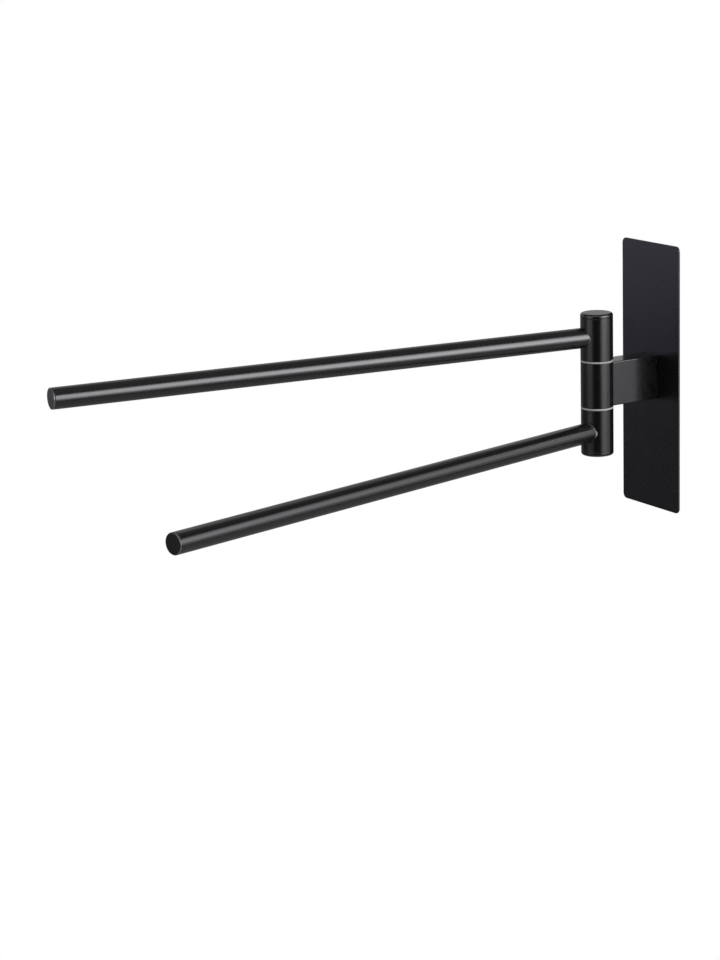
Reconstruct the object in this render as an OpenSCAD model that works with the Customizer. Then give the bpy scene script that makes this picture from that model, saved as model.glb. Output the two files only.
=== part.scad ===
// Wall-mounted towel holder with two swivelling arms.
// Origin: centre of the adhesive pad's back face, on the wall. +Z is up, the room is towards -Y.

/* [Wall plate] */
// Width of the wall plate
plate_w = 68; // [60:1:100]
// Height of the wall plate
plate_h = 200; // [150:1:260]
// Thickness of the wall plate
plate_t = 1.5; // [1.2:0.1:3]
// Corner radius of the wall plate
plate_corner_r = 4; // [2:0.5:10]
// Thickness of the adhesive pad behind the plate
pad_t = 1; // [0.8:0.1:2]
// Distance from the plate's edge in to the pad's edge
pad_inset = 2; // [1:0.5:5]

/* [Bracket arm] */
// Distance from the plate's front face out to the swivel axis
axis_reach = 49; // [40:0.5:80]
// Width of the rectangular tube, side to side
bracket_w = 17; // [12:0.5:20]
// Height of the rectangular tube
bracket_h = 33; // [20:0.2:33.4]
// Wall of the rectangular tube
bracket_wall = 2; // [1.5:0.1:3]
// Outer edge radius of the rectangular tube
bracket_edge_r = 0.8; // [0.4:0.1:1.4]

/* [Column] */
// Diameter of the hub, the thrust rings, the sleeves and the column caps
column_d = 24; // [22:0.5:30]
// Height of the fixed hub between the thrust rings
hub_h = 33.8; // [33.4:0.2:45]
// Height of each swivel sleeve
sleeve_h = 31.7; // [30:0.1:45]
// Wall of the sleeve round its chamber
sleeve_wall = 3; // [2.5:0.1:4]
// Thickness of the sleeve's bearing web, next to the hub
web_h = 8; // [6:0.5:9]
// Thickness of the pale thrust ring between hub and sleeve
ring_h = 1.2; // [0.8:0.1:2]
// Height of the column cap that shows above the sleeve
cap_rim_h = 3.3; // [2.2:0.1:5]
// Rounding of the column cap's outer edge
cap_edge_r = 1.8; // [0.4:0.1:1.8]
// Depth of the column cap's spigot inside the sleeve
cap_spigot_h = 5; // [3:0.5:7]
// Wall of the column cap's spigot
cap_spigot_wall = 1.6; // [1:0.1:2.5]
// Small chamfer on the ends of the hub, the sleeves and the tubes
edge_break = 0.3; // [0.1:0.1:0.5]

/* [Arms] */
// Diameter of the arm tubes
arm_d = 15; // [13:0.5:18]
// Wall of the arm tubes
arm_wall = 1.2; // [1:0.1:1.8]
// Distance from the swivel axis to the arm's free end
arm_reach = 420; // [200:1:600]
// Height of the arm's centre line above the sleeve's inner face
arm_rise = 17.1; // [15:0.1:19]
// Turn of the upper arm from straight out of the wall, in degrees
upper_arm_angle = -6.5; // [-90:0.1:90]
// Turn of the lower arm from straight out of the wall, in degrees
lower_arm_angle = 14.3; // [-90:0.1:90]
// Thickness of the end plug's head
plug_head_h = 1.2; // [0.8:0.1:3]
// Rounding of the end plug's outer edge
plug_edge_r = 0.6; // [0.2:0.1:0.7]
// Depth of the end plug's spigot inside the tube
plug_spigot_h = 10; // [5:1:20]
// Wall of the end plug's spigot
plug_spigot_wall = 1.5; // [1:0.1:2.5]
// Length of the threaded insert in the arm's root
insert_l = 18; // [17:1:30]

/* [Pivot hardware] */
// Diameter of the pivot bolt's shank
bolt_d = 6; // [5:0.5:6.5]
// Diameter of the pivot bolt's round head
bolt_head_d = 10; // [9:0.5:10.5]
// Height of the pivot bolt's head
bolt_head_h = 6; // [4:0.5:8]
// Size across the flats of the pivot bolt's hexagon socket
bolt_socket_af = 5; // [4:0.5:6]
// Depth of the pivot bolt's hexagon socket
bolt_socket_depth = 3; // [2:0.5:3.5]
// Length of thread that stands out past the lock nut
bolt_proud = 1.6; // [1:0.1:4]
// Size across the flats of the lock nut
nut_af = 10; // [9:0.5:10.5]
// Height of the lock nut's hexagon
nut_hex_h = 4.5; // [3:0.1:6]
// Height of the lock nut's collar, which holds its nylon ring
nut_collar_h = 1.5; // [1:0.1:3]
// Wall of the lock nut's collar round the nylon ring
nut_collar_wall = 0.5; // [0.4:0.1:0.6]
// Diameter of the flat washers
washer_d = 12; // [11:0.5:12.5]
// Thickness of the flat washers
washer_t = 1.6; // [1:0.1:2]
// Diameter of the disc springs
spring_d = 12.5; // [11:0.5:13]
// Sheet thickness of the disc springs
spring_t = 0.7; // [0.5:0.1:0.8]
// Cone height of the disc springs, without their sheet
spring_cone_h = 0.3; // [0.2:0.05:0.4]
// Wall of the bearing bushes
bush_wall = 1.5; // [1:0.1:1.8]

/* [Arm fixing screws] */
// Diameter of the arm screw's shank
arm_screw_d = 5; // [4:0.5:6]
// Length of the arm screw under its head
arm_screw_l = 16; // [12:1:18]
// Diameter of the arm screw's button head
arm_screw_head_d = 9.5; // [8:0.5:10]
// Height of the arm screw's button head
arm_screw_head_h = 2.75; // [2:0.25:3]
// Size across the flats of the arm screw's hexagon socket
arm_screw_socket_af = 3; // [2.5:0.5:4]
// Depth of the arm screw's hexagon socket
arm_screw_socket_depth = 1.5; // [1:0.1:1.8]
// Depth of the flat spot-face cut into the chamber wall under the head
spot_face_depth = 0.4; // [0.2:0.1:1]

/* [Fits] */
// Radial gap between a bush and the bolt that it turns on
running_gap = 0.05; // [0.03:0.01:0.1]
// Radial gap of a pressed or screwed joint
press_gap = 0.02; // [0.01:0.01:0.05]
// Radial gap round a screw or bolt in a plain hole
hole_gap = 0.2; // [0.1:0.05:0.4]
// Gap at the saddle joints, where a tube end is fitted to a round column
saddle_gap = 0.1; // [0.05:0.05:0.2]
// Distance that a bush stays back from the faces at both of its ends
bush_setback = 0.1; // [0.05:0.05:0.3]
// Distance from the sleeve to the flat end of the threaded insert
insert_setback = 0.3; // [0.2:0.1:1]

/* [Hidden] */
$fn = 96;

black_coat = [0.07, 0.07, 0.075];
grey_nylon = [0.62, 0.62, 0.61];
white_nylon = [0.88, 0.88, 0.85];
grey_foam = [0.32, 0.33, 0.34];
zinc = [0.68, 0.69, 0.71];
bronze = [0.66, 0.48, 0.27];

// How far a cutting shape runs past the face that it cuts
cut = 1;

plate_front_y = -(pad_t + plate_t);
axis_y = plate_front_y - axis_reach;

column_r = column_d / 2;
chamber_r = column_r - sleeve_wall;
arm_r = arm_d / 2;
tube_bore_r = arm_r - arm_wall;
bolt_r = bolt_d / 2;
bush_bore_r = bolt_r + running_gap;
bush_r = bush_bore_r + bush_wall;

// Heights above the hub's middle, the same upwards and downwards
sleeve_z = hub_h / 2 + ring_h;
web_top_z = sleeve_z + web_h;
spring_z = web_top_z + washer_t;
clamp_z = spring_z + spring_cone_h + spring_t;
arm_z = sleeve_z + arm_rise;
cap_z = sleeve_z + sleeve_h;
bolt_l = 2 * clamp_z + nut_hex_h + nut_collar_h + bolt_proud;

// Distances out from the swivel axis, along an arm
arm_screw_seat = chamber_r + spot_face_depth;
insert_start = column_r + insert_setback;
tube_end = arm_reach - plug_head_h;

function hexagon_r(across_flats) = across_flats / 2 / cos(30);

// Outline of a sheet or a section with four equal round corners, centred
module rounded_rectangle(w, h, r) {
    square([w - 2 * r, h], center = true);
    square([w, h - 2 * r], center = true);
    for (x = [-1, 1], z = [-1, 1])
        translate([x * (w / 2 - r), z * (h / 2 - r)])
            circle(r);
}

// A sheet that stands up along the wall, from back_y out into the room by its thickness t
module standing_sheet(w, h, t, r, back_y) {
    translate([0, back_y, 0])
        rotate([90, 0, 0])
            linear_extrude(t)
                rounded_rectangle(w, h, r);
}

// A round bar standing on z = 0 with a chamfer c on both ends
module chamfered_bar(r, h, c) {
    rotate_extrude()
        polygon([[0, 0], [r - c, 0], [r, c], [r, h - c], [r - c, h], [0, h]]);
}

// A round head on z = 0, its top edge rounded with e and its bottom edge chamfered with c
module rounded_head(r, h, e, c) {
    rotate_extrude() {
        polygon([[0, 0], [r - c, 0], [r, c], [r, h - e], [r - e, h - e], [r - e, h], [0, h]]);
        intersection() {
            translate([r - e, h - e])
                circle(e);
            translate([r - e, h - e])
                square(e);
        }
    }
}

module ring(outer_r, bore_r, h) {
    difference() {
        cylinder(r = outer_r, h = h);
        translate([0, 0, -cut])
            cylinder(r = bore_r, h = h + 2 * cut);
    }
}

// Places a piece on the swivel column, unturned
module on_column() {
    translate([0, axis_y, 0])
        children();
}

// Turns a piece with the upper arm
module with_upper_arm() {
    on_column()
        rotate([0, 0, upper_arm_angle])
            children();
}

// Turns a piece with the lower arm, which is the upper one upside down
module with_lower_arm() {
    on_column()
        rotate([0, 0, lower_arm_angle])
            mirror([0, 0, 1])
                children();
}

// Lays a piece that was made along +Z out along an arm, away from the wall
module along_arm(distance) {
    translate([0, -distance, arm_z])
        rotate([90, 0, 0])
            children();
}

// Double-sided foam tape that holds the plate to the wall
module adhesive_pad() {
    color(grey_foam)
        standing_sheet(plate_w - 2 * pad_inset, plate_h - 2 * pad_inset, pad_t,
                       plate_corner_r, 0);
}

// Flat steel plate
module wall_plate() {
    color(black_coat)
        standing_sheet(plate_w, plate_h, plate_t, plate_corner_r, -pad_t);
}

// Rectangular steel tube, one end welded to the plate and the other shaped to the hub
module bracket_arm() {
    color(black_coat)
        difference() {
            translate([0, plate_front_y, 0])
                rotate([90, 0, 0])
                    linear_extrude(axis_reach)
                        difference() {
                            rounded_rectangle(bracket_w, bracket_h, bracket_edge_r);
                            square([bracket_w - 2 * bracket_wall, bracket_h - 2 * bracket_wall],
                                   center = true);
                        }
            on_column()
                translate([0, 0, -hub_h / 2])
                    cylinder(r = column_r + saddle_gap, h = hub_h);
        }
}

// Fixed middle of the column, bored for the pivot bolt
module pivot_hub() {
    color(black_coat)
        on_column()
            translate([0, 0, -hub_h / 2])
                difference() {
                    chamfered_bar(column_r, hub_h, edge_break);
                    translate([0, 0, -cut])
                        cylinder(r = bolt_r + hole_gap, h = hub_h + 2 * cut);
                }
}

// Socket-head bolt through the whole column
module pivot_bolt() {
    color(zinc)
        on_column()
            difference() {
                union() {
                    translate([0, 0, clamp_z])
                        chamfered_bar(bolt_head_d / 2, bolt_head_h, edge_break);
                    translate([0, 0, clamp_z - bolt_l])
                        chamfered_bar(bolt_r, bolt_l + cut, edge_break);
                }
                translate([0, 0, clamp_z + bolt_head_h - bolt_socket_depth])
                    cylinder(r = hexagon_r(bolt_socket_af), h = bolt_socket_depth + cut, $fn = 6);
            }
}

// Hexagon nut with a collar for its nylon ring, at the column's lower end
module lock_nut() {
    nut_h = nut_hex_h + nut_collar_h;
    color(zinc)
        on_column()
            translate([0, 0, -clamp_z - nut_h])
                difference() {
                    union() {
                        cylinder(r = nut_af / 2 - edge_break, h = nut_h);
                        translate([0, 0, nut_collar_h])
                            cylinder(r = hexagon_r(nut_af), h = nut_hex_h, $fn = 6);
                    }
                    translate([0, 0, -cut])
                        cylinder(r = bolt_r + press_gap, h = nut_h + 2 * cut);
                    translate([0, 0, -cut])
                        cylinder(r = nut_af / 2 - edge_break - nut_collar_wall,
                                 h = nut_collar_h + cut);
                }
}

// Nylon ring in the lock nut's collar, which grips the thread
module lock_nut_ring() {
    color(white_nylon)
        on_column()
            translate([0, 0, -clamp_z - nut_hex_h - nut_collar_h])
                ring(nut_af / 2 - edge_break - nut_collar_wall - press_gap,
                     bolt_r + press_gap, nut_collar_h);
}

module flat_washer() {
    color(zinc)
        translate([0, 0, web_top_z])
            ring(washer_d / 2, bolt_r + hole_gap, washer_t);
}

// Coned spring washer that keeps the column clamped, its rim on the flat washer
module disc_spring() {
    bore_r = bolt_r + hole_gap;
    rim_r = spring_d / 2;
    color(zinc)
        translate([0, 0, spring_z])
            rotate_extrude()
                polygon([[bore_r, spring_cone_h], [rim_r, 0], [rim_r, spring_t],
                         [bore_r, spring_cone_h + spring_t]]);
}

// Turned sleeve: a bearing web next to the hub and an open chamber above it
module sleeve() {
    color(black_coat)
        difference() {
            translate([0, 0, sleeve_z])
                chamfered_bar(column_r, sleeve_h, edge_break);
            translate([0, 0, web_top_z])
                cylinder(r = chamber_r, h = sleeve_h);
            translate([0, 0, sleeve_z - cut])
                cylinder(r = bush_r + press_gap, h = web_h + 2 * cut);
            along_arm(0)
                cylinder(r = arm_screw_d / 2 + hole_gap, h = column_r + cut);
            along_arm(0)
                cylinder(r = arm_screw_head_d / 2 + hole_gap, h = arm_screw_seat);
        }
}

// Pale nylon ring that shows as the line between hub and sleeve
module thrust_ring() {
    color(grey_nylon)
        translate([0, 0, sleeve_z - ring_h])
            ring(column_r, bush_r + press_gap, ring_h);
}

// Bronze bush in the bearing web, which also centres the thrust ring
module bush() {
    color(bronze)
        translate([0, 0, sleeve_z - ring_h + bush_setback])
            ring(bush_r, bush_bore_r, ring_h + web_h - 2 * bush_setback);
}

// Round cap with a spigot pressed into the sleeve's chamber
module column_cap() {
    spigot_r = chamber_r - press_gap;
    color(black_coat)
        translate([0, 0, cap_z]) {
            rounded_head(column_r, cap_rim_h, cap_edge_r, edge_break);
            translate([0, 0, -cap_spigot_h])
                ring(spigot_r, spigot_r - cap_spigot_wall, cap_spigot_h + cap_rim_h / 2);
        }
}

// Round steel tube, its root end cut to a saddle that fits the sleeve
module arm_tube() {
    color(black_coat)
        difference() {
            along_arm(0)
                chamfered_bar(arm_r, tube_end, edge_break);
            along_arm(-cut)
                cylinder(r = tube_bore_r, h = tube_end + 2 * cut);
            translate([0, 0, arm_z - arm_d])
                cylinder(r = column_r + saddle_gap, h = 2 * arm_d);
        }
}

// Threaded steel insert pressed into the arm's root
module arm_insert() {
    color(zinc)
        along_arm(insert_start)
            ring(tube_bore_r - press_gap, arm_screw_d / 2 + press_gap, insert_l);
}

// Button-head screw, driven from inside the sleeve's chamber into the insert
module arm_screw() {
    color(zinc)
        along_arm(arm_screw_seat)
            difference() {
                union() {
                    mirror([0, 0, 1])
                        rounded_head(arm_screw_head_d / 2, arm_screw_head_h,
                                     arm_screw_head_h / 2, edge_break);
                    translate([0, 0, -arm_screw_head_h / 2])
                        chamfered_bar(arm_screw_d / 2, arm_screw_l + arm_screw_head_h / 2,
                                      edge_break);
                }
                translate([0, 0, -arm_screw_head_h - cut])
                    cylinder(r = hexagon_r(arm_screw_socket_af),
                             h = arm_screw_socket_depth + cut, $fn = 6);
            }
}

// Plug that closes the arm's free end
module arm_end_plug() {
    spigot_r = tube_bore_r - press_gap;
    color(black_coat)
        along_arm(tube_end) {
            rounded_head(arm_r, plug_head_h, plug_edge_r, edge_break);
            translate([0, 0, -plug_spigot_h])
                ring(spigot_r, spigot_r - plug_spigot_wall, plug_spigot_h + plug_head_h / 2);
        }
}

adhesive_pad();
wall_plate();
bracket_arm();
pivot_hub();
pivot_bolt();
lock_nut();
lock_nut_ring();
on_column() flat_washer();  // upper_flat_washer
on_column() disc_spring();  // upper_disc_spring
on_column() mirror([0, 0, 1]) flat_washer();  // lower_flat_washer
on_column() mirror([0, 0, 1]) disc_spring();  // lower_disc_spring

with_upper_arm() sleeve();  // upper_sleeve
with_upper_arm() thrust_ring();  // upper_thrust_ring
with_upper_arm() bush();  // upper_bush
with_upper_arm() column_cap();  // upper_column_cap
with_upper_arm() arm_tube();  // upper_arm_tube
with_upper_arm() arm_insert();  // upper_arm_insert
with_upper_arm() arm_screw();  // upper_arm_screw
with_upper_arm() arm_end_plug();  // upper_arm_end_plug

with_lower_arm() sleeve();  // lower_sleeve
with_lower_arm() thrust_ring();  // lower_thrust_ring
with_lower_arm() bush();  // lower_bush
with_lower_arm() column_cap();  // lower_column_cap
with_lower_arm() arm_tube();  // lower_arm_tube
with_lower_arm() arm_insert();  // lower_arm_insert
with_lower_arm() arm_screw();  // lower_arm_screw
with_lower_arm() arm_end_plug();  // lower_arm_end_plug
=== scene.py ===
import math

import bpy
from mathutils import Matrix, Vector


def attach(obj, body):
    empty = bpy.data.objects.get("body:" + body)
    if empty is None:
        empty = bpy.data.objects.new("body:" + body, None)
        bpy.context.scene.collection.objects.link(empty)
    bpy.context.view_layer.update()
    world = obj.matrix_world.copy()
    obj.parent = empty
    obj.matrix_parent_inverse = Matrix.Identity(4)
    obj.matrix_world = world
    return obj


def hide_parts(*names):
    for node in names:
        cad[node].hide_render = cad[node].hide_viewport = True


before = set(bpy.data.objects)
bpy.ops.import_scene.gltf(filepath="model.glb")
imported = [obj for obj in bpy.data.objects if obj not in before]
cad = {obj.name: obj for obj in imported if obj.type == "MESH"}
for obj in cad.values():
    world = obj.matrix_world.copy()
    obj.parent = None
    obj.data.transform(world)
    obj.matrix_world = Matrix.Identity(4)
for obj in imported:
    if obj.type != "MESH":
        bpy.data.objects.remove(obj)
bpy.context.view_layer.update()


# Foam pad. Double-sided foam tape that holds the plate to the wall. It is die-cut from a roll,
# so its corners are round and its cut edge is open foam. It shows only as a thin grey line
# round the back of the plate.
pad_width, pad_thickness, pad_height = 0.064, 0.001, 0.196
pad_corner_radius = 0.004
pad_edge_radius = 0.0001
foam_grey = (0.075, 0.08, 0.085, 1)
foam_pale = (0.13, 0.135, 0.14, 1)
foam_cell_scale, foam_patch_scale, foam_cell_depth = 5200.0, 150.0, 0.00008
foam_roughness, foam_shine = (0.82, 0.95), 0.3

# Two places closer than a hair's breadth are the same place. A face looks up, down or along the
# arm when its normal points that way by this share at least.
hair, facing = 0.00003, 0.9
smooth_below = math.radians(40)


def take_up(piece):
    """Makes this the one piece that the tools work on."""
    bpy.ops.object.select_all(action="DESELECT")
    piece.select_set(True)
    bpy.context.view_layer.objects.active = piece


def open_for_editing(piece, mode):
    """Shows one piece to the mesh tools, in face or edge mode, with nothing selected."""
    take_up(piece)
    bpy.ops.object.mode_set(mode="EDIT")
    bpy.ops.mesh.select_mode(type=mode)
    bpy.ops.mesh.select_all(action="DESELECT")
    bpy.ops.object.mode_set(mode="OBJECT")


def pick_faces(piece, wanted):
    """Starts editing a piece with the faces selected whose centre and normal are wanted."""
    open_for_editing(piece, "FACE")
    for face in piece.data.polygons:
        face.select = wanted(face.center, face.normal)
    bpy.ops.object.mode_set(mode="EDIT")


def pick_edges(piece, wanted):
    """Starts editing a piece with the edges selected whose two ends are wanted."""
    open_for_editing(piece, "EDGE")
    corners = piece.data.vertices
    for edge in piece.data.edges:
        edge.select = wanted(corners[edge.vertices[0]].co, corners[edge.vertices[1]].co)
    bpy.ops.object.mode_set(mode="EDIT")


def stop_editing():
    bpy.ops.object.mode_set(mode="OBJECT")


def round_edges(piece, wanted, radius, segments):
    pick_edges(piece, wanted)
    bpy.ops.mesh.bevel(offset=radius, segments=segments, profile=0.5, affect="EDGES")
    stop_editing()


def name_piece(name):
    """Names the piece just added and moves its place into its mesh."""
    piece = bpy.context.active_object
    piece.name = piece.data.name = name
    bpy.ops.object.transform_apply(location=True, rotation=True, scale=True)
    return piece


def add_block(name, low, high):
    low, high = Vector(low), Vector(high)
    bpy.ops.object.select_all(action="DESELECT")
    bpy.ops.mesh.primitive_cube_add(size=1, location=(low + high) / 2)
    bpy.context.active_object.scale = high - low
    return name_piece(name)


def add_sheet(name, width, height, back_y, front_y, corner_radius, edge_radius):
    """A cut sheet along the wall, with round corners and its front and back edges softened."""
    sheet = add_block(name, (-width / 2, front_y, -height / 2), (width / 2, back_y, height / 2))
    round_edges(sheet, lambda a, b: abs(a.y - b.y) > hair, corner_radius, segments=12)
    round_edges(sheet, lambda a, b: abs(a.y - b.y) < hair, edge_radius, segments=3)
    return sheet


def finish_surface(piece, material):
    """Shades the rounded edges smooth, keeps the flat faces flat, and gives the finish."""
    take_up(piece)
    bpy.ops.object.shade_smooth_by_angle(angle=smooth_below)
    flats = piece.modifiers.new("keep_flats", "WEIGHTED_NORMAL")
    flats.keep_sharp = True
    flats.weight = 100
    bpy.ops.object.modifier_apply(modifier=flats.name)
    piece.data.materials.clear()
    piece.data.materials.append(material)


def add_node(tree, kind, inputs=None, **settings):
    """Adds a shader node, sets its options, and sets or links its inputs."""
    made = tree.nodes.new(kind)
    for option, value in settings.items():
        setattr(made, option, value)
    for socket, value in (inputs or {}).items():
        if isinstance(value, bpy.types.NodeSocket):
            tree.links.new(value, made.inputs[socket])
        else:
            made.inputs[socket].default_value = value
    return made


def calculate(tree, operation, first, second=0.0):
    """One Math node on two numbers or sockets."""
    return add_node(tree, "ShaderNodeMath", {0: first, 1: second},
                    operation=operation).outputs[0]


def spread(tree, value, low, high, start=0.3, end=0.7):
    """Stretches a value that runs from start to end, as noise does from 0.3 to 0.7, so that it
    runs from low to high."""
    return add_node(tree, "ShaderNodeMapRange",
                    {"Value": value, "From Min": start, "From Max": end,
                     "To Min": low, "To Max": high}).outputs["Result"]


def blend_colours(tree, share, first, second):
    made = add_node(tree, "ShaderNodeMix", data_type="RGBA")
    for socket, value in ((0, share), (6, first), (7, second)):
        if isinstance(value, bpy.types.NodeSocket):
            tree.links.new(value, made.inputs[socket])
        else:
            made.inputs[socket].default_value = value
    return made.outputs[2]


def raise_surface(tree, shader, height, distance):
    """Lets a height pattern, in a height of so many metres, shape the shader's surface."""
    bump = add_node(tree, "ShaderNodeBump", {"Distance": distance, "Height": height})
    tree.links.new(bump.outputs["Normal"], shader.inputs["Normal"])


def new_group(name, inputs, outputs):
    """A shader node group with named numbers going in and coming out."""
    group = bpy.data.node_groups.new(name, "ShaderNodeTree")
    for label, value in inputs.items():
        made = group.interface.new_socket(label, in_out="INPUT", socket_type="NodeSocketFloat")
        made.default_value = value
    for label in outputs:
        group.interface.new_socket(label, in_out="OUTPUT", socket_type="NodeSocketFloat")
    return group, group.nodes.new("NodeGroupInput"), group.nodes.new("NodeGroupOutput")


def place_group(tree, group, values):
    made = add_node(tree, "ShaderNodeGroup", node_tree=group)
    for label, value in values.items():
        if isinstance(value, bpy.types.NodeSocket):
            tree.links.new(value, made.inputs[label])
        else:
            made.inputs[label].default_value = value
    return made.outputs


def new_finish(name):
    """An empty material, its node tree and its Principled shader."""
    material = bpy.data.materials.new(name)
    material.use_nodes = True
    return material, material.node_tree, material.node_tree.nodes["Principled BSDF"]


# Every surface has a broad unevenness and a fine grain, each in its own size.
surface_grain, group_in, group_out = new_group(
    "surface_grain", {"Blotch Scale": 40.0, "Grain Scale": 2000.0}, ["Blotch", "Grain"])
on_piece = add_node(surface_grain, "ShaderNodeTexCoord").outputs["Object"]
for label in ("Blotch", "Grain"):
    noise = add_node(surface_grain, "ShaderNodeTexNoise",
                     {"Vector": on_piece, "Scale": group_in.outputs[label + " Scale"],
                      "Detail": 3.0})
    surface_grain.links.new(noise.outputs["Fac"], group_out.inputs[label])

foam_tape, tree, shader = new_finish("grey_foam_tape")
grain = place_group(tree, surface_grain,
                    {"Blotch Scale": foam_patch_scale, "Grain Scale": foam_cell_scale})
cells = spread(tree, grain["Grain"], 0.0, 1.0)
tree.links.new(blend_colours(tree, cells, foam_grey, foam_pale), shader.inputs["Base Color"])
tree.links.new(spread(tree, grain["Blotch"], *foam_roughness), shader.inputs["Roughness"])
raise_surface(tree, shader, cells, foam_cell_depth)
shader.inputs["Specular IOR Level"].default_value = foam_shine

foam_pad = add_sheet("foam_pad", pad_width, pad_height, 0.0, -pad_thickness,
                     pad_corner_radius, pad_edge_radius)
finish_surface(foam_pad, foam_tape)
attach(foam_pad, "wall_bracket")
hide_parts("adhesive_pad")


# Wall plate. Laser-cut steel sheet with rounded corners, edges deburred before it is powder
# coated together with the bracket arm and the hub, which are welded to it. The coat is a little
# more matt on the broad plate than on the round pieces.
plate_width, plate_height = 0.068, 0.200
plate_front_y = -0.0025
plate_corner_radius = 0.004
plate_edge_radius = 0.00035
coat_black = (0.0013, 0.0013, 0.0016, 1)
coat_thin = (0.0026, 0.0026, 0.003, 1)
coat_rubbed = (0.03, 0.03, 0.032, 1)
peel_scale, coat_grain_scale, peel_depth = 620.0, 3600.0, 0.000008
cloud_scale, gloss_scale, gloss_change = 26.0, 140.0, 0.012
edge_rub_from, edge_rub_to = 0.56, 0.64
rub_patch_scale, rub_polish, rub_fade = 300.0, 0.06, 0.0001
round_roughness, plate_roughness = 0.23, 0.28

# A coat that has been rubbed is a little paler and smoother where an edge sticks out. A flat
# face has a pointiness of 0.5, and a sharp edge has more.
edge_rub, group_in, group_out = new_group(
    "edge_rub", {"Patch Scale": rub_patch_scale, "Rub From": edge_rub_from,
                 "Rub To": edge_rub_to}, ["Rub"])
on_piece = add_node(edge_rub, "ShaderNodeTexCoord").outputs["Object"]
patches = add_node(edge_rub, "ShaderNodeTexNoise",
                   {"Vector": on_piece, "Scale": group_in.outputs["Patch Scale"],
                    "Detail": 4.0}).outputs["Fac"]
corner = spread(edge_rub, add_node(edge_rub, "ShaderNodeNewGeometry").outputs["Pointiness"],
                0.0, 1.0, group_in.outputs["Rub From"], group_in.outputs["Rub To"])
edge_rub.links.new(calculate(edge_rub, "MULTIPLY", corner,
                             spread(edge_rub, patches, 0.2, 1.0)), group_out.inputs["Rub"])


def powder_coat(name, roughness, rubbed_colour=coat_rubbed, bare_metal=0.0,
                rub_from=edge_rub_from, rub_to=edge_rub_to, painted_highlight_within=None):
    """Satin black powder coat: a faint orange peel with a very fine grain on top. It is rubbed
    where edges stick out. Closer to the swivel axis than the given rim distance it is painted
    pale, a painted highlight on the rubbed rim."""
    material, tree, shader = new_finish(name)
    peel = place_group(tree, surface_grain,
                       {"Blotch Scale": peel_scale, "Grain Scale": coat_grain_scale})
    cloud = place_group(tree, surface_grain,
                        {"Blotch Scale": cloud_scale, "Grain Scale": gloss_scale})
    rub = place_group(tree, edge_rub, {"Patch Scale": rub_patch_scale, "Rub From": rub_from,
                                       "Rub To": rub_to})["Rub"]
    # The pale rim near the axis is a painted highlight on the arms' rubbed saddle rim.
    if painted_highlight_within is not None:
        rim = spread(tree, distance_from_axis(tree), 1.0, 0.0, painted_highlight_within - rub_fade,
                     painted_highlight_within)
        painted_rim_highlight = calculate(tree, "MULTIPLY", rim, spread(tree, cloud["Grain"], 0.6, 1.0))
        rub = calculate(tree, "MAXIMUM", rub, painted_rim_highlight)
    coat = blend_colours(tree, spread(tree, cloud["Blotch"], 0.0, 1.0), coat_black, coat_thin)
    tree.links.new(blend_colours(tree, rub, coat, rubbed_colour), shader.inputs["Base Color"])
    if bare_metal:
        tree.links.new(calculate(tree, "MULTIPLY", rub, bare_metal), shader.inputs["Metallic"])
    matt = spread(tree, cloud["Grain"], roughness - gloss_change, roughness + gloss_change)
    matt = calculate(tree, "SUBTRACT", matt, calculate(tree, "MULTIPLY", rub, rub_polish))
    tree.links.new(matt, shader.inputs["Roughness"])
    height = calculate(tree, "ADD", calculate(tree, "MULTIPLY", peel["Blotch"], 0.6),
                       calculate(tree, "MULTIPLY", peel["Grain"], 0.4))
    raise_surface(tree, shader, height, peel_depth)
    shader.inputs["Specular IOR Level"].default_value = 1.0
    return material


black_coat = powder_coat("black_powder_coat", round_roughness)
plate_coat = powder_coat("plate_powder_coat", plate_roughness)

wall_plate = add_sheet("wall_sheet", plate_width, plate_height, -pad_thickness, plate_front_y,
                       plate_corner_radius, plate_edge_radius)
finish_surface(wall_plate, plate_coat)
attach(wall_plate, "wall_bracket")
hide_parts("wall_plate")


# Bracket arm. A short piece of rectangular steel tube, welded to the plate at one end and
# milled hollow at the other, so that it sits closely on the round hub.
axis_y = -0.0515
tube_width, tube_height = 0.017, 0.033
tube_wall = 0.002
tube_edge_radius = 0.0008
column_radius = 0.012
saddle_gap = 0.0001
bracket_roughness = 0.2
overcut = 0.01


def cut_away(piece, cutter):
    """Takes the cutter's shape out of a piece, and the cutter out of the scene."""
    take_up(piece)
    cut = piece.modifiers.new("cut", "BOOLEAN")
    cut.operation, cut.solver, cut.object = "DIFFERENCE", "EXACT", cutter
    bpy.ops.object.modifier_apply(modifier=cut.name)
    bpy.data.objects.remove(cutter)


def from_column(point):
    """Distance of a point from the swivel axis."""
    return math.hypot(point.x, point.y - axis_y)


def add_turned(name, radius, low, high, sides=128):
    """A round bar on the swivel axis."""
    bpy.ops.object.select_all(action="DESELECT")
    bpy.ops.mesh.primitive_cylinder_add(vertices=sides, radius=radius, depth=high - low,
                                        location=(0, axis_y, (low + high) / 2))
    return name_piece(name)


bracket_tube = add_block("bracket_tube", (-tube_width / 2, axis_y, -tube_height / 2),
                         (tube_width / 2, plate_front_y, tube_height / 2))
round_edges(bracket_tube, lambda a, b: abs(a.y - b.y) > hair, tube_edge_radius, segments=6)
inside = add_block("tube_hollow",
                   (-tube_width / 2 + tube_wall, axis_y - overcut, -tube_height / 2 + tube_wall),
                   (tube_width / 2 - tube_wall, overcut, tube_height / 2 - tube_wall))
cut_away(bracket_tube, inside)
cut_away(bracket_tube, add_turned("hub_shape", column_radius + saddle_gap,
                                  -tube_height, tube_height))
finish_surface(bracket_tube, powder_coat("bracket_powder_coat", bracket_roughness))
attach(bracket_tube, "wall_bracket")
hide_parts("bracket_arm")


# Hub. The fixed middle of the column, turned from steel bar, bored for the pivot bolt, and
# welded to the bracket arm. Its two ends are where the arms' sleeves bear.
hub_end = 0.0169
hub_bore = 0.0032
turned_edge_radius = 0.0003


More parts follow.
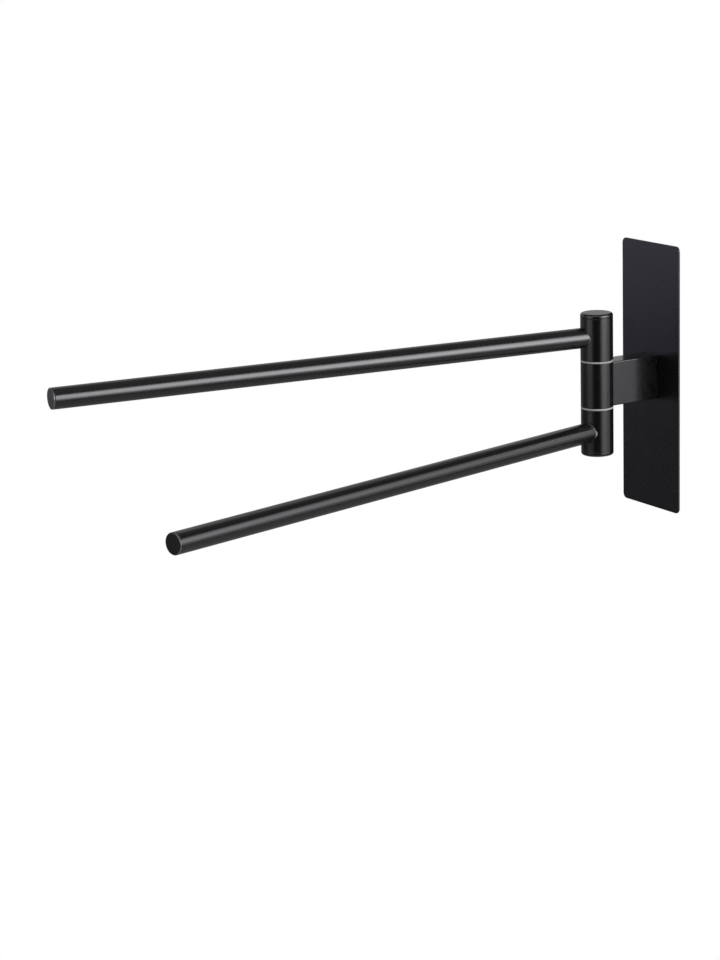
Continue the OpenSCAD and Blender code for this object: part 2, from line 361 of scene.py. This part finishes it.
def on_rim(radius, height):
    """Wants the edges of a circle round the swivel axis."""
    return lambda a, b: all(abs(p.z - height) < hair and abs(from_column(p) - radius) < hair
                            for p in (a, b))


def close_openings():
    """Joins the two open rims of the piece that is being edited with a wall."""
    bpy.ops.mesh.select_mode(type="EDGE")
    bpy.ops.mesh.select_all(action="DESELECT")
    bpy.ops.mesh.select_non_manifold(extend=False, use_wire=False, use_multi_face=False,
                                     use_non_contiguous=False, use_verts=False)
    bpy.ops.mesh.bridge_edge_loops()
    bpy.ops.mesh.select_all(action="SELECT")
    bpy.ops.mesh.normals_make_consistent(inside=False)
    stop_editing()


def bore_through(piece, wall):
    """Bores a round bar from end to end and leaves a wall of this thickness."""
    pick_faces(piece, lambda centre, normal: abs(normal.z) > facing)
    bpy.ops.mesh.inset(thickness=wall)
    bpy.ops.mesh.delete(type="FACE")
    close_openings()


fixed_hub = add_turned("fixed_hub", column_radius, -hub_end, hub_end)
bore_through(fixed_hub, column_radius - hub_bore)
for height in (-hub_end, hub_end):
    round_edges(fixed_hub, on_rim(column_radius, height), turned_edge_radius, segments=3)
finish_surface(fixed_hub, black_coat)
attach(fixed_hub, "wall_bracket")
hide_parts("pivot_hub")


# Pivot hardware. A zinc-plated M6 socket-head bolt runs through the whole column. A lock nut
# with a nylon ring, two flat washers and two disc springs keep the column clamped. The caps
# hide all of it, so the CAD solids stay and get their real finishes.
bolt_pitch, bolt_thread_depth = 0.001, 0.0005
bolt_head_low = 0.0287
turning_pitch, turning_depth = 0.00012, 0.00001
drawing_pitch, drawing_depth = 0.00018, 0.000008
zinc_bright = (0.62, 0.63, 0.64, 1)
zinc_dull = (0.47, 0.48, 0.5, 1)
zinc_patch_scale, zinc_grain_scale, zinc_roughness = 320.0, 4200.0, (0.26, 0.4)
nylon_white = (0.72, 0.72, 0.66, 1)
nylon_shade = (0.6, 0.6, 0.54, 1)
nylon_patch_scale, nylon_grain_scale, nylon_grain_depth = 180.0, 2600.0, 0.000012
nylon_gloss_change, white_roughness = 0.05, 0.4

# A ridge that repeats along a distance: a screw's thread, or the marks of a turning tool.
ridges, group_in, group_out = new_group("ridges", {"Along": 0.0, "Pitch": 0.001}, ["Ridge"])
half_pitch = calculate(ridges, "DIVIDE", group_in.outputs["Pitch"], 2.0)
up_and_down = calculate(ridges, "PINGPONG", group_in.outputs["Along"], half_pitch)
ridges.links.new(calculate(ridges, "DIVIDE", up_and_down, half_pitch), group_out.inputs["Ridge"])


def object_place(tree):
    return add_node(tree, "ShaderNodeTexCoord").outputs["Object"]


def height_along_axis(tree):
    return add_node(tree, "ShaderNodeSeparateXYZ", {0: object_place(tree)}).outputs["Z"]


def distance_from_axis(tree):
    """Distance from the swivel axis, for marks that run in circles."""
    flat = add_node(tree, "ShaderNodeMapping", {"Vector": object_place(tree),
                                                "Location": (0, -axis_y, 0),
                                                "Scale": (1, 1, 0)}).outputs["Vector"]
    return add_node(tree, "ShaderNodeVectorMath", {0: flat}, operation="LENGTH").outputs["Value"]


def zinc_plate(name, along, pitch, depth, only_below=None):
    """Bright zinc plating on steel. Along builds the distance that the ridges follow. With
    only_below they end at that height, as the bolt's thread does under its head."""
    material, tree, shader = new_finish(name)
    grain = place_group(tree, surface_grain,
                        {"Blotch Scale": zinc_patch_scale, "Grain Scale": zinc_grain_scale})
    tree.links.new(blend_colours(tree, spread(tree, grain["Blotch"], 0.0, 1.0),
                                 zinc_bright, zinc_dull), shader.inputs["Base Color"])
    tree.links.new(spread(tree, grain["Grain"], *zinc_roughness), shader.inputs["Roughness"])
    shader.inputs["Metallic"].default_value = 1.0
    ridge = place_group(tree, ridges, {"Along": along(tree), "Pitch": pitch})["Ridge"]
    if only_below is not None:
        low = calculate(tree, "LESS_THAN", height_along_axis(tree), only_below)
        ridge = calculate(tree, "MULTIPLY", ridge, low)
    raise_surface(tree, shader, ridge, depth)
    return material


bolt_zinc = zinc_plate("zinc_with_thread", height_along_axis, bolt_pitch, bolt_thread_depth,
                       bolt_head_low)
flat_zinc = zinc_plate("zinc_turned_flat", distance_from_axis, turning_pitch, turning_depth)
nut_zinc = zinc_plate("zinc_drawn", height_along_axis, drawing_pitch, drawing_depth)
for hardware, finish in (("pivot_bolt", bolt_zinc), ("lock_nut", nut_zinc),
                         ("upper_flat_washer", flat_zinc), ("upper_disc_spring", flat_zinc),
                         ("lower_flat_washer", flat_zinc), ("lower_disc_spring", flat_zinc)):
    cad[hardware].material_slots[0].material = finish


def moulded_nylon(name, pale, shade, roughness):
    """Moulded nylon, slightly cloudy and matt."""
    material, tree, shader = new_finish(name)
    grain = place_group(tree, surface_grain,
                        {"Blotch Scale": nylon_patch_scale, "Grain Scale": nylon_grain_scale})
    tree.links.new(blend_colours(tree, spread(tree, grain["Blotch"], 0.0, 1.0), pale, shade),
                   shader.inputs["Base Color"])
    tree.links.new(spread(tree, grain["Grain"], roughness - nylon_gloss_change,
                          roughness + nylon_gloss_change), shader.inputs["Roughness"])
    raise_surface(tree, shader, grain["Grain"], nylon_grain_depth)
    return material


cad["lock_nut_ring"].material_slots[0].material = moulded_nylon(
    "white_nylon", nylon_white, nylon_shade, white_roughness)


# Thrust rings. Pale grey nylon washers, flush with the column, one at each end of the hub.
# They keep coated steel off coated steel and show as the two light lines on the column.
ring_high = 0.0181
ring_bore = 0.00457
ring_edge_radius = 0.0001
nylon_grey = (0.43, 0.43, 0.42, 1)
nylon_grey_shade = (0.36, 0.36, 0.35, 1)
grey_roughness = 0.5
upper_arm_turn, lower_arm_turn = math.radians(-6.5), math.radians(14.3)

to_axis = Matrix.Translation((0, axis_y, 0))
upper_place = to_axis @ Matrix.Rotation(upper_arm_turn, 4, "Z") @ to_axis.inverted()
lower_place = (to_axis @ Matrix.Rotation(lower_arm_turn, 4, "Z")
               @ Matrix.Diagonal((1, 1, -1, 1)) @ to_axis.inverted())


def place_pair(piece, name, material):
    """Turns a piece with the upper arm, and turns an upside-down copy with the lower arm."""
    lower = piece.copy()
    lower.data = piece.data.copy()
    bpy.context.scene.collection.objects.link(lower)
    placed = []
    for half, side, matrix in ((piece, "upper_", upper_place), (lower, "lower_", lower_place)):
        take_up(half)
        half.matrix_world = matrix
        half.name = half.data.name = side + name
        bpy.ops.object.transform_apply(location=True, rotation=True, scale=True)
        bpy.ops.object.mode_set(mode="EDIT")
        bpy.ops.mesh.select_all(action="SELECT")
        bpy.ops.mesh.normals_make_consistent(inside=False)
        stop_editing()
        finish_surface(half, material)
        placed.append(half)
    return placed


grey_nylon = moulded_nylon("grey_nylon", nylon_grey, nylon_grey_shade, grey_roughness)
slide_ring = add_turned("slide_ring", column_radius, hub_end, ring_high)
bore_through(slide_ring, column_radius - ring_bore)
for height in (hub_end, ring_high):
    round_edges(slide_ring, on_rim(column_radius, height), ring_edge_radius, segments=2)
upper_slide_ring, lower_slide_ring = place_pair(slide_ring, "slide_ring", grey_nylon)
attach(upper_slide_ring, "upper_arm")
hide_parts("upper_thrust_ring")
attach(lower_slide_ring, "lower_arm")
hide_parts("lower_thrust_ring")


# Bushes. Oil-filled sintered bronze, pressed into the sleeves. They are closed in, so the CAD
# solids stay. The pressed powder leaves fine dark pores.
bronze_warm = (0.48, 0.3, 0.13, 1)
bronze_pore = (0.13, 0.08, 0.04, 1)
bronze_patch_scale, bronze_pore_scale, bronze_pore_depth = 260.0, 5600.0, 0.00002
bronze_roughness, pore_from, pore_to = (0.3, 0.46), 0.34, 0.44

bronze, tree, shader = new_finish("sintered_bronze")
grain = place_group(tree, surface_grain,
                    {"Blotch Scale": bronze_patch_scale, "Grain Scale": bronze_pore_scale})
pores = spread(tree, grain["Grain"], 1.0, 0.0, pore_from, pore_to)
tree.links.new(blend_colours(tree, pores, bronze_warm, bronze_pore), shader.inputs["Base Color"])
tree.links.new(spread(tree, grain["Blotch"], *bronze_roughness), shader.inputs["Roughness"])
raise_surface(tree, shader, grain["Grain"], bronze_pore_depth)
shader.inputs["Metallic"].default_value = 1.0
for bush in ("upper_bush", "lower_bush"):
    cad[bush].material_slots[0].material = bronze


# Sleeves. Turned steel, one above and one below the hub: a thick web with the bush at the
# inner end, and an open chamber for the bolt's head and the arm's screw at the outer end.
sleeve_end = 0.0498
web_top = 0.0261
chamber_radius = 0.009
arm_height = 0.0352
screw_hole_radius, screw_hole_depth = 0.0027, 0.015
spot_face_radius, spot_face_depth = 0.00495, 0.0094


def add_bar_along_arm(name, radius, start, end, sides=96):
    """A round bar that lies along the unturned upper arm, away from the wall."""
    bpy.ops.object.select_all(action="DESELECT")
    bpy.ops.mesh.primitive_cylinder_add(
        vertices=sides, radius=radius, depth=end - start, rotation=(math.radians(90), 0, 0),
        location=(0, axis_y - (start + end) / 2, arm_height))
    return name_piece(name)


sleeve = add_turned("sleeve", column_radius, ring_high, sleeve_end)
pick_faces(sleeve, lambda centre, normal: normal.z > facing)
bpy.ops.mesh.inset(thickness=column_radius - chamber_radius)
bpy.ops.mesh.extrude_region_move(
    TRANSFORM_OT_translate={"value": (0, 0, web_top - sleeve_end)})
bpy.ops.mesh.inset(thickness=chamber_radius - ring_bore)
bpy.ops.mesh.delete(type="FACE")
stop_editing()
pick_faces(sleeve, lambda centre, normal: normal.z < -facing)
bpy.ops.mesh.inset(thickness=column_radius - ring_bore)
bpy.ops.mesh.delete(type="FACE")
close_openings()
for height in (ring_high, sleeve_end):
    round_edges(sleeve, on_rim(column_radius, height), turned_edge_radius, segments=3)
cut_away(sleeve, add_bar_along_arm("screw_hole", screw_hole_radius, 0, screw_hole_depth,
                                   sides=48))
cut_away(sleeve, add_bar_along_arm("spot_face", spot_face_radius, 0, spot_face_depth, sides=64))
upper_sleeve, lower_sleeve = place_pair(sleeve, "swivel_sleeve", black_coat)
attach(upper_sleeve, "upper_arm")
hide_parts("upper_sleeve")
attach(lower_sleeve, "lower_arm")
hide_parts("lower_sleeve")


# Arms. Round steel tube, coated after its root end is milled to a saddle that fits the sleeve.
# The saddle's rim and the free end's rim are rounded. The saddle's rim is coloured pale grey, a
# rubbed rim with a painted highlight on it, stronger on the lower arm, so that it shows as a
# fine pale arc.
arm_radius, arm_wall = 0.0075, 0.0012
tube_end = 0.4188
saddle_rim_radius = 0.0007
seam_edge_radius = 0.0005
# Pale grey saddle rim: a painted highlight on the rubbed rim, set stronger on the lower arm.
upper_rim_highlight_width, upper_rim_highlight_grey, upper_rim_highlight_metal = 0.0006, (0.4, 0.4, 0.4, 1), 0.3
lower_rim_highlight_width, lower_rim_highlight_grey, lower_rim_highlight_metal = 0.0008, (0.6, 0.6, 0.6, 1), 0.2


def from_arm(point):
    """Distance of a point from the unturned upper arm's centre line."""
    return math.hypot(point.x, point.z - arm_height)


arm = add_bar_along_arm("towel_arm", arm_radius, 0, tube_end)
pick_faces(arm, lambda centre, normal: abs(normal.y) > facing)
bpy.ops.mesh.inset(thickness=arm_wall)
bpy.ops.mesh.delete(type="FACE")
close_openings()
round_edges(arm, lambda a, b: all(abs(from_arm(p) - arm_radius) < hair
                                  and abs(axis_y - p.y - tube_end) < hair for p in (a, b)),
            seam_edge_radius, segments=4)
cut_away(arm, add_turned("column_shape", column_radius + saddle_gap, 0, 2 * arm_height))
round_edges(arm, lambda a, b: all(abs(from_arm(p) - arm_radius) < hair
                                  and from_column(p) < column_radius + saddle_gap + hair
                                  for p in (a, b)), saddle_rim_radius, segments=4)
upper_arm_coat = powder_coat("upper_arm_powder_coat", round_roughness, upper_rim_highlight_grey,
                             upper_rim_highlight_metal, painted_highlight_within=column_radius + upper_rim_highlight_width)
lower_arm_coat = powder_coat("lower_arm_powder_coat", round_roughness, lower_rim_highlight_grey,
                             lower_rim_highlight_metal, painted_highlight_within=column_radius + lower_rim_highlight_width)
upper_arm, lower_arm = place_pair(arm, "towel_arm", upper_arm_coat)
lower_arm.data.materials[0] = lower_arm_coat
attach(upper_arm, "upper_arm")
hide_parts("upper_arm_tube")
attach(lower_arm, "lower_arm")
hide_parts("lower_arm_tube")


# Arm fixings. A threaded steel insert is pressed into each arm's root, and a button-head
# screw holds it from inside the sleeve. They are closed in, so the CAD solids stay.
screw_pitch, screw_thread_depth = 0.0008, 0.0004
insert_pitch, insert_depth = 0.0002, 0.00001
for side, matrix in (("upper", upper_place), ("lower", lower_place)):
    outwards = matrix.to_3x3() @ Vector((0, -1, 0))

    def distance_along_arm(tree):
        return add_node(tree, "ShaderNodeVectorMath",
                        {0: object_place(tree), 1: outwards},
                        operation="DOT_PRODUCT").outputs["Value"]

    cad[side + "_arm_insert"].material_slots[0].material = zinc_plate(
        side + "_insert_zinc", distance_along_arm, insert_pitch, insert_depth)
    cad[side + "_arm_screw"].material_slots[0].material = zinc_plate(
        side + "_screw_zinc", distance_along_arm, screw_pitch, screw_thread_depth)


# End plugs. Turned steel plugs, coated like the arm and pressed into its free end. The head is
# as wide as the arm, so only a fine seam and its rounded edge show. That edge is rubbed almost
# to the steel and shows as a thin bright line. The coat on the flat face stays whole.
plug_head, plug_edge_radius = 0.0012, 0.0006
plug_spigot_radius, plug_spigot_depth, plug_spigot_wall = 0.00628, 0.010, 0.0015
face_inset, quite_flat = 0.0003, 0.999
steel_rubbed, steel_share = (0.3, 0.3, 0.3, 1), 0.8
plug_roughness, plug_rub_from, plug_rub_to = 0.25, 0.508, 0.53


def add_closing_piece(name, radius, head, edge_radius, inner_edge_radius,
                      spigot_radius, spigot_depth, spigot_wall):
    """A round head with a rounded edge and a hollow spigot under it, standing on z = 0. The
    ring that is inset in its face keeps the rubbed edge off the face."""
    bpy.ops.object.select_all(action="DESELECT")
    bpy.ops.mesh.primitive_cylinder_add(vertices=128, radius=radius, depth=head,
                                        location=(0, 0, head / 2))
    closing = name_piece(name)
    pick_faces(closing, lambda centre, normal: normal.z < -facing)
    bpy.ops.mesh.inset(thickness=radius - spigot_radius)
    bpy.ops.mesh.extrude_region_move(TRANSFORM_OT_translate={"value": (0, 0, -spigot_depth)})
    bpy.ops.mesh.inset(thickness=spigot_wall)
    bpy.ops.mesh.extrude_region_move(TRANSFORM_OT_translate={"value": (0, 0, spigot_depth)})
    stop_editing()
    for height, size, segments in ((head, edge_radius, 6), (0, inner_edge_radius, 3)):
        round_edges(closing, lambda a, b: all(
            abs(p.z - height) < hair and abs(math.hypot(p.x, p.y) - radius) < hair
            for p in (a, b)), size, segments)
    pick_faces(closing, lambda centre, normal: normal.z > quite_flat and centre.z > head / 2)
    bpy.ops.mesh.inset(thickness=face_inset)
    stop_editing()
    return closing


def move_mesh(piece, matrix):
    take_up(piece)
    piece.matrix_world = matrix
    bpy.ops.object.transform_apply(location=True, rotation=True, scale=True)


plug_coat = powder_coat("plug_powder_coat", plug_roughness, steel_rubbed, steel_share,
                        plug_rub_from, plug_rub_to)
plug = add_closing_piece("end_plug", arm_radius, plug_head, plug_edge_radius,
                         seam_edge_radius, plug_spigot_radius, plug_spigot_depth,
                         plug_spigot_wall)
move_mesh(plug, Matrix.Translation((0, axis_y - tube_end, arm_height))
          @ Matrix.Rotation(math.radians(90), 4, "X"))
upper_plug, lower_plug = place_pair(plug, "end_plug", plug_coat)
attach(upper_plug, "upper_arm")
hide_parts("upper_arm_end_plug")
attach(lower_plug, "lower_arm")
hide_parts("lower_arm_end_plug")


# Column caps. Turned steel caps, coated, their spigots pressed into the sleeves' chambers.
# They close the column at both ends and hide the pivot bolt's head and its nut.
cap_head, cap_edge_radius = 0.0033, 0.0018
cap_spigot_radius, cap_spigot_depth, cap_spigot_wall = 0.00898, 0.005, 0.0016

cap = add_closing_piece("column_cap", column_radius, cap_head, cap_edge_radius,
                        turned_edge_radius, cap_spigot_radius, cap_spigot_depth,
                        cap_spigot_wall)
move_mesh(cap, Matrix.Translation((0, axis_y, sleeve_end)))
upper_cap, lower_cap = place_pair(cap, "cap", black_coat)
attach(upper_cap, "upper_arm")
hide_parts("upper_column_cap")
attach(lower_cap, "lower_arm")
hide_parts("lower_column_cap")


# Camera. It stands to the right of the holder, above it, and looks a little down on it. Its
# turn, dip and roll are in degrees.
camera_place = (1.5834, -1.2091, 0.3971)
camera_turn, camera_dip, camera_roll = 58.984, 13.393, -1.563
camera_data = bpy.data.cameras.new("camera")
camera_data.lens, camera_data.sensor_width = 101.56, 36.0
camera = bpy.data.objects.new("camera", camera_data)
bpy.context.scene.collection.objects.link(camera)
camera.matrix_world = (Matrix.Translation(camera_place)
                       @ Matrix.Rotation(math.radians(camera_turn), 4, "Z")
                       @ Matrix.Rotation(math.radians(90 - camera_dip), 4, "X")
                       @ Matrix.Rotation(math.radians(camera_roll), 4, "Z"))
bpy.context.scene.camera = camera


# Floor. A plain pale studio floor well below the holder. Near the holder it takes light and
# shadow, and further out the camera sees it turn into the white background. From below the
# camera looks through it, so the holder's underside can be seen.
floor_height, floor_radius, floor_middle = -0.85, 1.8, -0.2
floor_pale, floor_roughness = (0.42, 0.42, 0.42, 1), 0.9
white_from, white_to = 0.45, 0.9

bpy.ops.object.select_all(action="DESELECT")
bpy.ops.mesh.primitive_circle_add(vertices=96, radius=floor_radius, fill_type="NGON",
                                  location=(0, floor_middle, floor_height))
floor = name_piece("studio_floor")
studio_floor, tree, shader = new_finish("studio_floor")
shader.inputs["Base Color"].default_value = floor_pale
shader.inputs["Roughness"].default_value = floor_roughness
shader.inputs["Specular IOR Level"].default_value = 0.0
from_foot = add_node(tree, "ShaderNodeMapping", {"Vector": object_place(tree),
                                                 "Location": (0, -floor_middle, 0),
                                                 "Scale": (1, 1, 0)})
outward = add_node(tree, "ShaderNodeVectorMath", {0: from_foot.outputs["Vector"]},
                   operation="LENGTH").outputs["Value"]
whiteness = spread(tree, outward, 0.5, 1.0, white_from, white_to)
ray = add_node(tree, "ShaderNodeLightPath").outputs
seen = calculate(tree, "MAXIMUM", ray["Is Camera Ray"], ray["Is Transmission Ray"])
white = add_node(tree, "ShaderNodeEmission", {"Color": (1, 1, 1, 1), "Strength": 1.0})
lit = add_node(tree, "ShaderNodeMixShader",
               {0: calculate(tree, "MULTIPLY", whiteness, seen),
                1: shader.outputs["BSDF"], 2: white.outputs["Emission"]})
below = calculate(tree, "MULTIPLY", ray["Is Camera Ray"],
                  add_node(tree, "ShaderNodeNewGeometry").outputs["Backfacing"])
clear = add_node(tree, "ShaderNodeBsdfTransparent")
surface = add_node(tree, "ShaderNodeMixShader",
                   {0: below, 1: lit.outputs["Shader"], 2: clear.outputs["BSDF"]})
tree.links.new(surface.outputs["Shader"], tree.nodes["Material Output"].inputs["Surface"])
floor.data.materials.append(studio_floor)


# Light. A white background stands behind the holder and the room in front of it is dim. A big
# soft box to the right, brighter towards its middle, draws the bright lines along the arms and
# the column. Weaker ones to the left light the column's other side, the end plugs and the wall
# plate, and one above the camera lights the rounded rims.
behind_turn = math.radians(155)
behind = Vector((math.cos(behind_turn), math.sin(behind_turn), 0))
background_low, background_high = 0.15, 0.5
ceiling_low, ceiling_high = 0.01, 0.2
even_light = 0.3
cool_white, blue_white = (0.965, 0.965, 1.0), (0.79, 0.77, 1.0)
floor_grid = math.radians(40)

# The camera sees the world white. The holder mirrors the dim room and the background in it, and
# it also takes an even light from all round.
world = bpy.data.worlds.new("studio")
world.use_nodes = True
bpy.context.scene.world = world
tree = world.node_tree
direction = add_node(tree, "ShaderNodeTexCoord").outputs["Generated"]
height = add_node(tree, "ShaderNodeSeparateXYZ", {0: direction}).outputs["Z"]
towards_back = add_node(tree, "ShaderNodeVectorMath", {0: direction, 1: behind},
                        operation="DOT_PRODUCT").outputs["Value"]
background = calculate(tree, "MULTIPLY", spread(tree, towards_back, 0.0, 1.0, 0.5, 0.8),
                       spread(tree, height, background_low, background_high, -0.05, 0.15))
ceiling = spread(tree, height, ceiling_low, ceiling_high, 0.5, 0.95)
room = calculate(tree, "ADD", background, ceiling)
ray = add_node(tree, "ShaderNodeLightPath").outputs
seen = calculate(tree, "MAXIMUM", ray["Is Camera Ray"], ray["Is Transmission Ray"])
mirrored = calculate(tree, "MAXIMUM", seen, ray["Is Glossy Ray"])
soft = calculate(tree, "ADD", calculate(tree, "MULTIPLY", room, mirrored),
                 calculate(tree, "MULTIPLY", calculate(tree, "SUBTRACT", 1.0, mirrored),
                           even_light))
strength = calculate(tree, "MAXIMUM", soft, seen)
light = tree.nodes["Background"]
light.inputs["Color"].default_value = (1, 1, 1, 1)
tree.links.new(strength, light.inputs["Strength"])


def soft_box(name, left, right, low, high, brightness, colour, grid=None, distance=3.0):
    """A soft box that spans these angles in degrees, as the column sees it: to the side from the
    +X direction towards +Y, and up. A grid narrows its beam."""
    turn, rise = math.radians((left + right) / 2), math.radians((low + high) / 2)
    width = 2 * distance * math.tan(math.radians(right - left) / 2) * math.cos(rise)
    tall = 2 * distance * math.tan(math.radians(high - low) / 2)
    light_data = bpy.data.lights.new(name, "AREA")
    light_data.shape = "RECTANGLE"
    light_data.color = colour
    light_data.size, light_data.size_y = width, tall
    light_data.energy = brightness * math.pi * width * tall
    if grid is not None:
        light_data.spread = 2 * grid
        light_data.energy *= 1 - grid / math.tan(grid)
    box = bpy.data.objects.new(name, light_data)
    bpy.context.scene.collection.objects.link(box)
    away = Vector((math.cos(turn) * math.cos(rise), math.sin(turn) * math.cos(rise),
                   math.sin(rise)))
    box.location = Vector((0, axis_y, 0)) + away * distance
    box.rotation_mode = "QUATERNION"
    box.rotation_quaternion = away.to_track_quat("Z", "Y")
    box.visible_camera = False


soft_box("right_edge", -10, 76, -22, 38, 0.5, cool_white)
soft_box("right_low", 2, 32, -20, -4, 0.35, cool_white)
soft_box("right_main", -10, 54, -6, 36, 4.6, cool_white, floor_grid)
soft_box("right_middle", 10, 34, -4, 18, 1.2, cool_white, floor_grid)
soft_box("right_far", 44, 76, -2, 34, 0.7, cool_white, floor_grid)
soft_box("left_wide", -125, -60, 0, 40, 0.8, cool_white, floor_grid)
soft_box("left_middle", -108, -68, -8, 12, 1.5, cool_white, floor_grid)
soft_box("left_low", -122, -60, -22, -3, 0.12, cool_white)
soft_box("front_top", -75, -15, 28, 60, 1.1, cool_white, floor_grid)
soft_box("plate_light", -165, -125, -8, 12, 0.54, blue_white)
soft_box("plate_low_light", -165, -125, -24, -8, 0.04, blue_white)

bpy.context.scene.view_settings.view_transform = "Standard"
